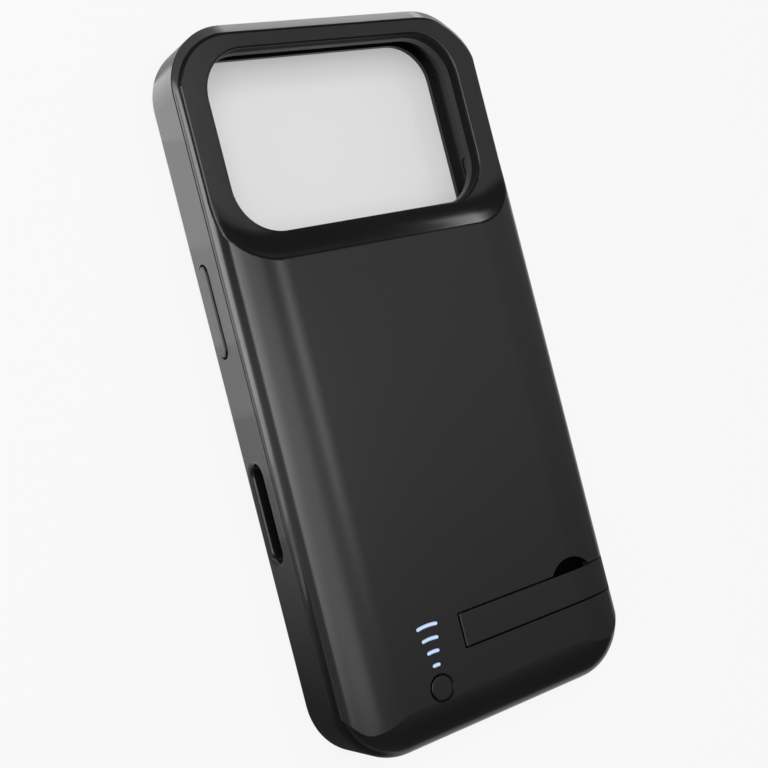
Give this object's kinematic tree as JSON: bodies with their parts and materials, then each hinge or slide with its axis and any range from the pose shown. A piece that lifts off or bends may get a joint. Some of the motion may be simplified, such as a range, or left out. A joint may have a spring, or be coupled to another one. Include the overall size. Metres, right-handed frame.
{
  "type": "battery charging case",
  "caption": "Slim handset case with a built-in battery hump, open rear window, swing-out stand strip, charge light bars, round check button and side keys.",
  "frame": {"origin": "centre of the overall box, on the plane of the front rim that the case lies on", "axes": "+X across the width, +Y along the length to the window end, +Z out of the back"},
  "size_m": [0.0786, 0.161, 0.0186],
  "materials": {
    "frame": "satin",
    "cover": "fine matte",
    "inner_plate": "matte",
    "keys": "satin",
    "steel": "plain",
    "light_bars": "clear, lit",
    "lamps": "plain",
    "board": "solder mask",
    "chip": "matte",
    "ferrite": "matte",
    "capacitor": "plain",
    "pouch": "foil",
    "tape": "foam",
    "red_lead": "plain",
    "black_lead": "plain",
    "contact_block": "plain",
    "ribbon": "film"
  },
  "bodies": {
    "case": {"bumper_frame": "frame", "mid_plate": "inner_plate", "back_cover": "cover", "kickstand_pin": "steel", "button_switch": "steel", "light_guide": "light_bars", "indicator_leds": "lamps", "main_board": "board", "board_screws": "steel", "charge_controller": "chip", "power_inductor": "ferrite", "board_capacitors": "capacitor", "battery_cell": "pouch", "battery_tape": "tape", "cell_protection_board": "board", "cell_tabs": "steel", "battery_lead_positive": "red_lead", "battery_lead_negative": "black_lead", "inlet_shell": "steel", "inlet_tongue": "contact_block", "plug_shell": "steel", "plug_insert": "contact_block", "plug_base": "contact_block", "plug_flex": "ribbon"},
    "kickstand": {"kickstand": "cover"},
    "battery_button": {"battery_button": "cover", "switch_plunger": "chip"},
    "side_key": {"side_key": "keys"},
    "volume_up_key": {"volume_up_key": "keys"},
    "volume_down_key": {"volume_down_key": "keys"},
    "action_key": {"action_key": "keys"}
  },
  "joints": [
    {"name": "kickstand_hinge", "type": "hinge", "parent": "case", "child": "kickstand", "pos_m": [-0.0051, -0.059, 0.0172], "axis": [0, -1, 0], "range_deg": [0, 75]},
    {"name": "battery_button_press", "type": "slide", "parent": "case", "child": "battery_button", "axis": [0, 0, -1], "range_m": [0, 0.0003], "stiffness_N_per_m": 400},
    {"name": "side_key_press", "type": "slide", "parent": "case", "child": "side_key", "axis": [1, 0, 0], "range_m": [0, 0.0004], "stiffness_N_per_m": 400},
    {"name": "volume_up_press", "type": "slide", "parent": "case", "child": "volume_up_key", "axis": [-1, 0, 0], "range_m": [0, 0.0004], "stiffness_N_per_m": 400},
    {"name": "volume_down_press", "type": "slide", "parent": "case", "child": "volume_down_key", "axis": [-1, 0, 0], "range_m": [0, 0.0004], "stiffness_N_per_m": 400},
    {"name": "action_key_press", "type": "slide", "parent": "case", "child": "action_key", "axis": [-1, 0, 0], "range_m": [0, 0.0004], "stiffness_N_per_m": 400}
  ]
}
